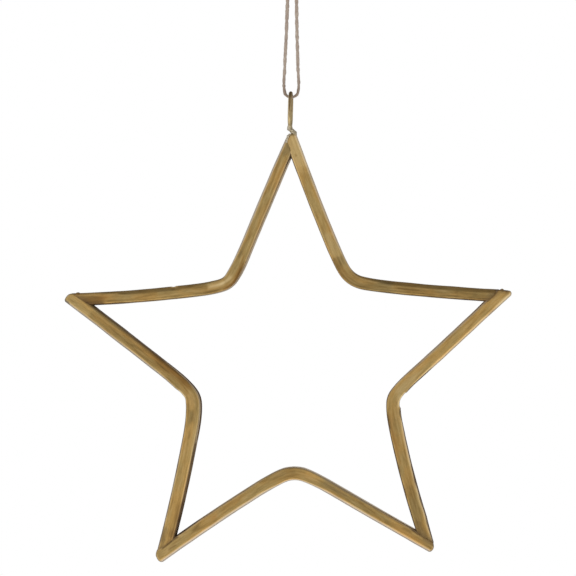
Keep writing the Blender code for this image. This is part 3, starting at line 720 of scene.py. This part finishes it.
# ---- materials ---------------------------------------------------------------------------
class Nodes:
    """A short way to write a node tree."""

    def __init__(self, holder):
        holder.use_nodes = True
        self.tree = holder.node_tree
        self.tree.nodes.clear()

    def add(self, kind, inputs=None, **settings):
        node = self.tree.nodes.new(kind)
        for key, value in settings.items():
            setattr(node, key, value)
        for key, value in (inputs or {}).items():
            socket = node.inputs[key]
            if isinstance(value, bpy.types.NodeSocket):
                self.tree.links.new(value, socket)
            else:
                socket.default_value = value
        return node

    def attribute(self, name, output="Fac"):
        return self.add("ShaderNodeAttribute", attribute_name=name).outputs[output]

    def math(self, op, a, b=0.0, c=None, clamp=False):
        node = self.add("ShaderNodeMath", operation=op, use_clamp=clamp)
        for i, v in enumerate((a, b) if c is None else (a, b, c)):
            if isinstance(v, bpy.types.NodeSocket):
                self.tree.links.new(v, node.inputs[i])
            else:
                node.inputs[i].default_value = v
        return node.outputs[0]

    def scaled(self, vector, scale):
        node = self.add("ShaderNodeVectorMath", {0: vector, 1: scale}, operation="MULTIPLY")
        return node.outputs[0]

    def noise(self, vector, scale, detail=3.0, rough=0.55, distortion=0.0):
        node = self.add("ShaderNodeTexNoise", {
            "Vector": vector, "Scale": scale, "Detail": detail, "Roughness": rough,
            "Distortion": distortion})
        return node.outputs["Fac"]

    def ramp(self, fac, low, high, smoother=True):
        node = self.add("ShaderNodeMapRange", {"Value": fac, "From Min": low, "From Max": high},
                        interpolation_type="SMOOTHSTEP" if smoother else "LINEAR", clamp=True)
        return node.outputs[0]

    def mix(self, fac, a, b, blend="MIX"):
        node = self.add("ShaderNodeMix", data_type="RGBA", blend_type=blend, clamp_factor=True)
        for key, v in ((0, fac), (6, a), (7, b)):
            if isinstance(v, bpy.types.NodeSocket):
                self.tree.links.new(v, node.inputs[key])
            else:
                node.inputs[key].default_value = v if key == 0 else (*v, 1.0)[:4]
        return node.outputs[2]

    def gain(self, color, factor):
        """A colour times a number."""
        return self.add("ShaderNodeVectorMath", {0: color, 3: factor},
                        operation="SCALE").outputs[0]

    def bump(self, height, strength, distance, normal=None):
        node = self.add("ShaderNodeBump", {"Height": height, "Strength": strength,
                                           "Distance": distance})
        if normal is not None:
            self.tree.links.new(normal, node.inputs["Normal"])
        return node.outputs[0]

    def surface(self, shader):
        out = self.add("ShaderNodeOutputMaterial")
        self.tree.links.new(shader.outputs[0], out.inputs["Surface"])


def brass_material(name, seed):
    mat = bpy.data.materials.new(name)
    n = Nodes(mat)
    co = n.add("ShaderNodeAttribute", attribute_name="bar_co").outputs["Vector"]
    shift = n.add("ShaderNodeVectorMath", {0: co, 1: (seed * 31.7, seed * 5.3, 0.0)},
                  operation="ADD").outputs[0]

    streak = n.noise(n.scaled(shift, (0.16, 1.3, 1.3)), 1.0, 4.0, 0.6, 0.25)
    fine = n.noise(n.scaled(shift, (0.9, 5.0, 5.0)), 1.0, 3.0, 0.6)
    cloud = n.noise(n.scaled(shift, (0.10, 0.28, 0.28)), 1.0, 3.0, 0.55)
    blotch = n.noise(n.scaled(shift, (0.32, 0.85, 0.85)), 1.0, 4.0, 0.62, 0.5)

    color = n.mix(n.ramp(cloud, 0.36, 0.64), (0.528, 0.374, 0.145), (0.598, 0.372, 0.120))
    color = n.mix(n.math("MULTIPLY", n.ramp(streak, 0.48, 0.72), 0.74), color,
                  (0.362, 0.222, 0.072))
    color = n.mix(n.math("MULTIPLY", n.ramp(streak, 0.50, 0.28), 0.60), color,
                  (0.712, 0.502, 0.222))
    color = n.mix(n.math("MULTIPLY", n.ramp(blotch, 0.54, 0.72), 0.34), color,
                  (0.360, 0.235, 0.085))
    color = n.mix(n.math("MULTIPLY", n.ramp(fine, 0.44, 0.72), 0.26), color,
                  (0.300, 0.195, 0.070))
    # pale long edges: partly worn brass, partly a painted highlight
    color = n.mix(n.math("MULTIPLY", n.attribute("worn"), 0.85), color, (0.750, 0.660, 0.555))
    color = n.mix(n.attribute("nose"), color, (0.440, 0.385, 0.320))
    # placed marks: warmth, tone, grime and painted shade, and painted shade on the side walls
    warm = n.attribute("warm")
    color = n.mix(n.math("MULTIPLY", warm, 0.75, clamp=True), color, (0.560, 0.300, 0.085))
    color = n.mix(n.math("MULTIPLY", warm, -0.75, clamp=True), color, (0.560, 0.460, 0.270))
    # tone: each leg's brightness and the marks', partly painted shade
    uneven = n.math("ADD", 1.0, n.math("MULTIPLY", n.math("SUBTRACT", streak, 0.5), 0.9))
    tone = n.math("MULTIPLY", n.attribute("tone"), uneven)
    color = n.gain(color, n.math("ADD", 1.0, tone))
    # darkening: real grime at the joints, painted shade along edges and in notch corners
    dirt_and_shade = n.math("MULTIPLY", n.attribute("grime"),
                  n.math("ADD", 0.85, n.math("MULTIPLY", n.math("SUBTRACT", blotch, 0.5), 1.2)),
                  clamp=True)
    color = n.mix(dirt_and_shade, color, (0.085, 0.047, 0.024))
    # painted shade on the side walls
    wall = n.math("MULTIPLY", n.attribute("wall"),
                  n.math("ADD", 0.96, n.math("MULTIPLY", n.math("SUBTRACT", streak, 0.5), 0.8)),
                  clamp=True)
    color = n.mix(wall, color, (0.078, 0.045, 0.028))

    rough = n.math("ADD", 0.33, n.math("MULTIPLY", blotch, 0.12))
    rough = n.math("ADD", rough, n.math("MULTIPLY", n.math("MAXIMUM", wall, dirt_and_shade), 0.30))
    dull = n.math("MAXIMUM", wall, dirt_and_shade)
    metal = n.math("SUBTRACT", 0.93, n.math("MULTIPLY", dull, 1.08), clamp=True)
    shine = n.math("SUBTRACT", 0.5, n.math("MULTIPLY", dull, 0.60), clamp=True)
    height = n.math("ADD", n.math("MULTIPLY", streak, 0.65), n.math("MULTIPLY", fine, 0.35))
    shader = n.add("ShaderNodeBsdfPrincipled", {
        "Base Color": color, "Roughness": rough, "Metallic": metal,
        "Specular IOR Level": shine, "Normal": n.bump(height, 0.25, 0.00006)})
    n.surface(shader)
    return mat


def eye_material():
    mat = bpy.data.materials.new("eye_brass_worn")
    n = Nodes(mat)
    mm = n.scaled(n.add("ShaderNodeTexCoord").outputs["Object"], (1000.0, 1000.0, 1000.0))
    x, _, z = n.add("ShaderNodeSeparateXYZ", {0: mm}).outputs
    grain = n.noise(mm, 1.1, 4.0, 0.6)
    fine = n.noise(mm, 3.2, 3.0, 0.6)
    low = n.ramp(z, -74.6, -76.4)  # braze below
    top = n.ramp(z, -71.0, -63.0)  # darker towards the top
    color = n.mix(n.ramp(grain, 0.35, 0.7), (0.60, 0.47, 0.25), (0.46, 0.34, 0.165))
    color = n.mix(n.math("MULTIPLY", top, 0.62), color, (0.200, 0.130, 0.060))
    # painted shade: a dark line down the middle of its upper half, and a painted highlight along its
    # left edge
    axis = n.math("MULTIPLY_ADD", z, 0.0296, 1.24)
    off = n.math("SUBTRACT", x, axis)
    upper = n.ramp(z, -71.5, -68.0)
    core = n.math("MULTIPLY", n.ramp(n.math("ABSOLUTE", off), 0.42, 0.12), upper)
    color = n.mix(n.math("MULTIPLY", core, 0.80), color, (0.150, 0.090, 0.042))
    left_highlight = n.math("MULTIPLY", n.ramp(off, -0.28, -0.55), 0.75)
    color = n.mix(left_highlight, color, (0.78, 0.68, 0.50))
    olive = n.math("MULTIPLY", n.ramp(off, 0.05, 0.40), n.math("SUBTRACT", 0.6, upper), clamp=True)
    color = n.mix(olive, color, (0.36, 0.285, 0.135))
    # the braze is pale on the left and over its edges, olive in the middle
    left = n.ramp(x, -0.55, -1.35)
    pale = n.math("MAXIMUM", n.math("MULTIPLY", left, 0.70), n.ramp(grain, 0.40, 0.75))
    braze = n.mix(pale, (0.42, 0.35, 0.21), (0.66, 0.60, 0.49))
    color = n.mix(low, color, braze)
    shader = n.add("ShaderNodeBsdfPrincipled", {
        "Base Color": color,
        "Metallic": n.math("SUBTRACT", 0.88, n.math("MULTIPLY", low, 0.5)),
        "Roughness": n.math("ADD", 0.34, n.math("MULTIPLY", grain, 0.2)),
        "Normal": n.bump(n.math("ADD", grain, n.math("MULTIPLY", fine, 0.5)), 0.5, 0.00012)})
    n.surface(shader)
    return mat


def twine_material():
    mat = bpy.data.materials.new("jute_fibre")
    n = Nodes(mat)
    co = n.add("ShaderNodeAttribute", attribute_name="ply_co").outputs["Vector"]
    fibre = n.noise(n.scaled(co, (0.55, 7.0, 7.0)), 1.0, 3.0, 0.6)
    patch = n.noise(n.scaled(co, (0.30, 0.5, 0.5)), 1.0, 3.0, 0.6)
    color = n.mix(n.ramp(fibre, 0.30, 0.70), (0.43, 0.345, 0.285), (0.58, 0.49, 0.41))
    color = n.mix(n.math("MULTIPLY", n.ramp(patch, 0.46, 0.66), 0.50), color,
                  (0.36, 0.275, 0.240))
    color = n.mix(n.math("MULTIPLY", n.ramp(patch, 0.50, 0.34), 0.35), color,
                  (0.68, 0.60, 0.52))
    # painted shade: darker where it turns round the eye
    along = n.add("ShaderNodeSeparateXYZ", {0: co}).outputs["X"]
    turn = n.ramp(n.math("ABSOLUTE", n.math("SUBTRACT", along, 66.5)), 11.0, 2.5)
    color = n.mix(n.math("MULTIPLY", turn, 0.55), color, (0.235, 0.165, 0.120))
    shader = n.add("ShaderNodeBsdfPrincipled", {
        "Base Color": color, "Roughness": 0.9, "Specular IOR Level": 0.2,
        "Normal": n.bump(fibre, 0.5, 0.00006)})
    n.surface(shader)
    return mat


# ---- the twine ---------------------------------------------------------------------------
def smooth_curve(points, spacing):
    pts = np.array(points, float)
    t = np.concatenate([[0], np.cumsum(np.linalg.norm(np.diff(pts, axis=0), axis=1))])
    slope = np.gradient(pts, t, axis=0)
    out = []
    for i in range(len(pts) - 1):
        h = t[i + 1] - t[i]
        for u in np.linspace(0, 1, max(1, int(round(h / spacing))) + 1)[:-1]:
            a = 2 * u**3 - 3 * u**2 + 1
            b = u**3 - 2 * u**2 + u
            out.append(a * pts[i] + b * h * slope[i] + (1 - a) * pts[i + 1]
                       + (u**3 - u**2) * h * slope[i + 1])
    out.append(pts[-1])
    return np.array(out)


def twine_route(spacing, steps=10):
    (x0, z0), (x1, _) = STRAND_LEFT[-1], STRAND_RIGHT[-1]
    mid, half, drop = (x0 + x1) / 2, (x1 - x0) / 2, z0 - TURN_Z
    turn = [(mid - half * math.cos(a), z0 - drop * math.sin(a))
            for a in (math.pi * i / steps for i in range(1, steps))]
    route = smooth_curve([*STRAND_LEFT, *turn, *reversed(STRAND_RIGHT)], spacing)
    return np.stack([route[:, 0], np.zeros(len(route)), route[:, 1]], axis=1)


def even(path, step):
    path = np.asarray(path, float)
    along = np.concatenate([[0], np.cumsum(np.linalg.norm(np.diff(path, axis=0), axis=1))])
    at = np.linspace(0, along[-1], int(math.ceil(along[-1] / step)) + 1)
    return np.stack([np.interp(at, along, path[:, k]) for k in range(3)], axis=1), at


def plied(path, diameter, pitch, seed, step=0.16, sides=14, hairs=3.0, hair=0.8, girth=None):
    """Vertices, faces and ply coordinates of a softly twisted two-ply twine with loose
    hairs. girth gives its relative thickness along the way."""
    rng = np.random.default_rng(seed)
    path, at = even(path, step)
    t, u, v = frames(path)
    verts, faces, co = [], [], []
    first = 0
    wob = waves(at[:, None], 7.0, seed)
    thick = np.ones(len(at)) if girth is None else girth(at)
    thick = thick * (1 + 0.05 * waves(at[:, None], 4.0, seed + 2))
    for k in range(2):
        turn = 2 * math.pi * (at / pitch + k / 2) + 0.9 * wob
        fat = 1 + 0.07 * waves(at[:, None], 3.0, seed + 7 * k + 3)
        r_h = diameter * 0.105 * thick
        r_p = diameter * 0.395 * thick * fat
        c = path + r_h[:, None] * (np.cos(turn)[:, None] * u + np.sin(turn)[:, None] * v)
        _, cu, cv = frames(c)
        ang = 2 * math.pi * np.arange(sides) / sides
        rough = 1 + 0.035 * rng.normal(size=(len(c), sides))
        # fibres wound round the ply
        lay = ang[None, :] * 5 + (2 * math.pi * at / 2.6)[:, None] + 3 * k
        rough = rough + 0.035 * np.sin(lay)
        ring = (c[:, None, :] + (r_p[:, None] * rough)[..., None]
                * (np.cos(ang)[None, :, None] * cu[:, None, :]
                   + np.sin(ang)[None, :, None] * cv[:, None, :]))
        verts.append(ring.reshape(-1, 3))
        faces += tube_faces(len(c), sides, first)
        twist = (ang[None, :] + (2 * math.pi * at / 14.0)[:, None]).ravel()
        co.append(np.stack([np.repeat(at, sides), np.cos(twist) + 3 * k, np.sin(twist)], axis=1))
        first += len(c) * sides
    total = int(at[-1] * hairs)
    for _ in range(total):
        i = rng.integers(2, len(path) - 2)
        a = rng.uniform(0, 2 * math.pi)
        out = math.cos(a) * u[i] + math.sin(a) * v[i]
        lean = t[i] * rng.choice([-1, 1]) * rng.uniform(0.8, 2.2)
        d = out * rng.uniform(0.15, 0.8) + lean * 0.7
        d /= np.linalg.norm(d)
        bend = np.cross(d, t[i]) * rng.normal() * 0.35
        length = hair * rng.uniform(0.4, 1.3)
        base = path[i] + out * diameter * 0.36
        pts = [base + d * length * f + bend * length * f * f for f in (0, 0.4, 0.75, 1.0)]
        w = 0.022 * rng.uniform(0.7, 1.2)
        s1 = np.cross(d, [0.3, 0.9, 0.2])
        s1 /= np.linalg.norm(s1)
        s2 = np.cross(d, s1)
        for p, slim in zip(pts, (1.0, 0.9, 0.7, 0.35)):
            for q in (0, 2 * math.pi / 3, 4 * math.pi / 3):
                verts.append((p + w * slim * (math.cos(q) * s1 + math.sin(q) * s2))[None])
                co.append(np.array([[at[i], 3.0 * q, length]]))
        faces += tube_faces(4, 3, first)
        first += 12
    return np.concatenate(verts), faces, np.concatenate(co)


# ---- build -------------------------------------------------------------------------------
lines = {name: Line(**shape) for name, shape in BARS.items()}
planes = end_planes(lines)
for index, (name, line) in enumerate(lines.items()):
    obj = build_bar(name, line, planes[name, 0], planes[name, 1])
    obj.data.materials.append(brass_material(name + "_aged_brass", index + 1))
    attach(obj, "root")
    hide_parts(name)


def build_eye():
    r = EYE_DEPTH / 2
    top, foot = EYE_TOP - WIRE / 2, EYE_TOP - EYE_HEIGHT + WIRE / 2
    path = []
    for i in range(36):
        a = math.pi * i / 35
        path.append((r * math.cos(a), top - r + r * math.sin(a)))
    for i in range(36):
        a = math.pi + math.pi * i / 35
        path.append((r * math.cos(a), foot + r + r * math.sin(a)))
    slope = (EYE_X[0] - EYE_X[1]) / (top - foot)
    ring = np.array([[EYE_X[1] + (z - foot) * slope, y, z] for y, z in path])
    n, sides = len(ring), 20
    verts = []
    for i in range(n):
        t = ring[(i + 1) % n] - ring[i - 1]
        t /= np.linalg.norm(t)
        u = np.cross(t, [1.0, 0.0, 0.0])
        u /= np.linalg.norm(u)
        v = np.cross(t, u)
        for k in range(sides):
            a = 2 * math.pi * k / sides
            verts.append(ring[i] + 0.67 * (math.cos(a) * u + math.sin(a) * v))
    faces = []
    for i in range(n):
        a, b = i * sides, ((i + 1) % n) * sides
        for k in range(sides):
            j = (k + 1) % sides
            faces.append((a + k, a + j, b + j, b + k))
    bm = bmesh.new()
    for v in verts:
        bm.verts.new(v)
    bm.verts.ensure_lookup_table()
    for f in faces:
        bm.faces.new([bm.verts[i] for i in f])
    # lumps of braze: under the eye, over the bar's nose and down the joint's left side
    lumps = [
        ((-0.98, -0.35, -75.55), (0.97, 1.9, 0.95)),
        ((-1.12, -0.35, -76.3), (0.88, 1.9, 0.55)),
        ((-0.20, -0.35, -76.9), (0.98, 1.9, 0.80)),
        ((0.42, -0.35, -77.6), (1.12, 2.0, 0.90)),
        ((0.90, -0.45, -78.35), (0.72, 2.15, 0.72)),
        ((-0.85, -0.5, -78.6), (0.72, 2.35, 0.60)),
        ((-1.46, -0.6, -79.3), (0.66, 2.45, 0.85)),
        ((-1.80, -0.7, -80.3), (0.62, 2.35, 0.95)),
        ((-2.02, -0.8, -81.2), (0.54, 2.2, 0.90)),
    ]
    for c, half in lumps:
        made = bmesh.ops.create_uvsphere(bm, u_segments=28, v_segments=18, radius=1.0)
        co = np.array([v.co for v in made["verts"]])
        swell = 1 + 0.08 * waves(co, 1.3, int(abs(c[2]) * 10))
        for v, s in zip(made["verts"], swell):
            v.co = Vector((c[0] + half[0] * v.co.x * s, c[1] + half[1] * v.co.y * s,
                           c[2] + half[2] * v.co.z * s))
    me = bpy.data.meshes.new("hanging_eye_wire")
    bm.to_mesh(me)
    bm.free()
    obj = bpy.data.objects.new("hanging_eye_wire", me)
    bpy.context.scene.collection.objects.link(obj)
    rm = obj.modifiers.new("blend", "REMESH")
    rm.mode = "VOXEL"
    rm.voxel_size = 0.11
    sm = obj.modifiers.new("soften", "SMOOTH")
    sm.factor, sm.iterations = 0.5, 5
    dg = bpy.context.evaluated_depsgraph_get()
    done = bpy.data.meshes.new_from_object(obj.evaluated_get(dg))
    obj.modifiers.clear()
    obj.data = done
    done.transform(Matrix.Scale(MM, 4))
    done.shade_smooth()
    return obj


eye = build_eye()
eye.data.materials.append(eye_material())
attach(eye, "root")
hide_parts("hanging_eye")

jute = twine_material()
route = twine_route(0.6)


def girth(at):
    """The loop's thickness along the way: full near the knot on the left, slimmer where it
    is drawn tight round the wire."""
    return (1.0 + 0.10 * smooth(44.0, 28.0, at) - 0.13 * box_weight(at, 60.0, 73.0, 5.0)
            + 0.05 * smooth(80.0, 90.0, at))


verts, faces, co = plied(route, TWINE * 0.97, 8.6, 11, girth=girth)
cord = mesh_object("twine_strand", verts, faces, {"ply_co": co})
cord.data.materials.append(jute)
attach(cord, "root")
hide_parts("twine_loop")


def build_knot():
    """An overhand knot tied in both strands together, with two cut ends above it."""
    parts = []
    tail_tops = [(-2.9, 0.35, 9.1), (3.1, -0.35, 10.3)]
    for k, sx in enumerate((-1, 1)):
        side = sx * 0.62
        pts = [
            (0.86 * sx, 0.0, 0.2), (0.75 * sx, 0.25, 1.0),
            (0.9 + side * 0.4, 0.95, 2.2), (1.3 + side * 0.3, 0.9, 3.8),
            (0.2, 0.75 + 0.3 * sx, 4.75 + 0.1 * sx), (-1.45, 0.2 + 0.25 * sx, 4.0 + 0.45 * sx),
            (-1.75, -0.65, 2.6 + 0.55 * sx), (-0.7, -1.15, 1.55 + 0.5 * sx),
            (0.9, -1.15, 1.6 + 0.5 * sx), (1.85, -0.5, 2.6 + 0.5 * sx),
            (1.35, 0.35, 3.4 + 0.3 * sx), (0.3 + side * 0.5, 0.1, 4.2),
            (side * 1.3, -0.35, 5.0), (0.5 * (side * 1.6 + tail_tops[k][0]), -0.1 * sx, 6.8),
            tail_tops[k],
        ]
        path = smooth_curve(pts, 0.3)
        parts.append(plied(path, TWINE * 0.95, 5.0, 31 + k, hairs=3.0, hair=0.7))
    verts, faces, co, first = [], [], [], 0
    for v, f, c in parts:
        verts.append(v)
        faces += [tuple(i + first for i in face) for face in f]
        co.append(c)
        first += len(v)
    return mesh_object("twine_knot_tied", np.concatenate(verts), faces,
                       {"ply_co": np.concatenate(co)})


knot = build_knot()
knot.data.materials.append(jute)
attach(knot, "root")
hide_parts("twine_knot")

# ---- studio ------------------------------------------------------------------------------
scene = bpy.context.scene
scene.view_settings.view_transform = "Standard"
scene.view_settings.look = "None"
scene.view_settings.exposure = 0.0
scene.view_settings.gamma = 1.0

camera_data = bpy.data.cameras.new("photo_camera")
camera_data.lens = 81.25
camera_data.sensor_width = 36.0
camera_data.clip_start = 0.01
camera_data.clip_end = 50.0
camera = bpy.data.objects.new("photo_camera", camera_data)
scene.collection.objects.link(camera)
camera.location = Vector((38.62, -465.08, -167.12)) * MM
target = Vector((-1.7, 0.0, -134.0)) * MM
camera.rotation_euler = (target - camera.location).to_track_quat("-Z", "Y").to_euler()
scene.camera = camera


def studio_world():
    """White to the camera. The ornament is lit by a tent: soft boxes low on both sides,
    weaker ones level with it, dim overhead."""
    world = bpy.data.worlds.new("studio")
    scene.world = world
    n = Nodes(world)
    way = n.add("ShaderNodeTexCoord").outputs["Generated"]
    _, y, z = n.add("ShaderNodeSeparateXYZ", {0: way}).outputs
    level = n.math("SUBTRACT", 0.54, n.math("MULTIPLY", n.ramp(z, 0.22, 0.90), 0.26))
    for aim, glow in (((-0.48, -0.50, -0.72), 0.85), ((0.48, -0.50, -0.72), 0.75),
                      ((-0.84, -0.50, 0.22), 0.45), ((0.85, -0.50, 0.18), 0.38)):
        near = n.add("ShaderNodeVectorMath", {0: way, 1: aim}, operation="DOT_PRODUCT")
        patch = n.ramp(near.outputs["Value"], 0.72, 0.95)
        level = n.math("ADD", level, n.math("MULTIPLY", patch, glow))
    back = n.ramp(y, 0.10, 0.90)
    level = n.math("MULTIPLY", level, n.math("SUBTRACT", 1.0, n.math("MULTIPLY", back, 0.12)))
    soft = n.add("ShaderNodeBackground", {"Color": (1.0, 0.985, 0.96, 1.0), "Strength": level})
    white = n.add("ShaderNodeBackground", {"Color": (1.0, 1.0, 1.0, 1.0), "Strength": 1.0})
    seen = n.add("ShaderNodeLightPath").outputs["Is Camera Ray"]
    both = n.add("ShaderNodeMixShader", {0: seen, 1: soft.outputs[0], 2: white.outputs[0]})
    out = n.add("ShaderNodeOutputWorld")
    n.tree.links.new(both.outputs[0], out.inputs["Surface"])


studio_world()


def area(name, location, size, power, target=(0.0, 0.0, -0.16), color=(1, 1, 1)):
    data = bpy.data.lights.new(name, "AREA")
    data.shape = "DISK"
    data.size = size
    data.energy = power
    data.color = color
    light = bpy.data.objects.new(name, data)
    scene.collection.objects.link(light)
    light.location = location
    light.rotation_euler = (Vector(target) - light.location).to_track_quat("-Z", "Y").to_euler()
    light.visible_camera = False
    return light


area("soft_front", (-0.15, -1.5, -0.10), 1.2, 0.4)
area("soft_back", (0.2, 1.3, -0.2), 1.2, 1.0)


def build_floor():
    """A round white sweep below the ornament, fading out towards its rim."""
    bm = bmesh.new()
    bmesh.ops.create_circle(bm, cap_ends=True, segments=96, radius=1.15)
    me = bpy.data.meshes.new("studio_floor")
    bm.to_mesh(me)
    bm.free()
    obj = bpy.data.objects.new("studio_floor", me)
    scene.collection.objects.link(obj)
    obj.location = (0.0, 0.0, -0.50)
    mat = bpy.data.materials.new("white_paper")
    n = Nodes(mat)
    co = n.add("ShaderNodeTexCoord").outputs["Object"]
    far = n.add("ShaderNodeVectorMath", {0: co}, operation="LENGTH").outputs["Value"]
    fade = n.ramp(far, 0.55, 1.13)
    paper = n.add("ShaderNodeBsdfDiffuse", {"Color": (0.93, 0.93, 0.93, 1.0)})
    clear = n.add("ShaderNodeBsdfTransparent")
    glow = n.add("ShaderNodeEmission", {"Color": (1.0, 1.0, 1.0, 1.0), "Strength": 0.42})
    paper = n.add("ShaderNodeAddShader", {0: paper.outputs[0], 1: glow.outputs[0]})
    mixed = n.add("ShaderNodeMixShader", {0: fade, 1: paper.outputs[0], 2: clear.outputs[0]})
    n.surface(mixed)
    me.materials.append(mat)
    obj.visible_glossy = obj.visible_diffuse = False


build_floor()

bpy.context.view_layer.update()
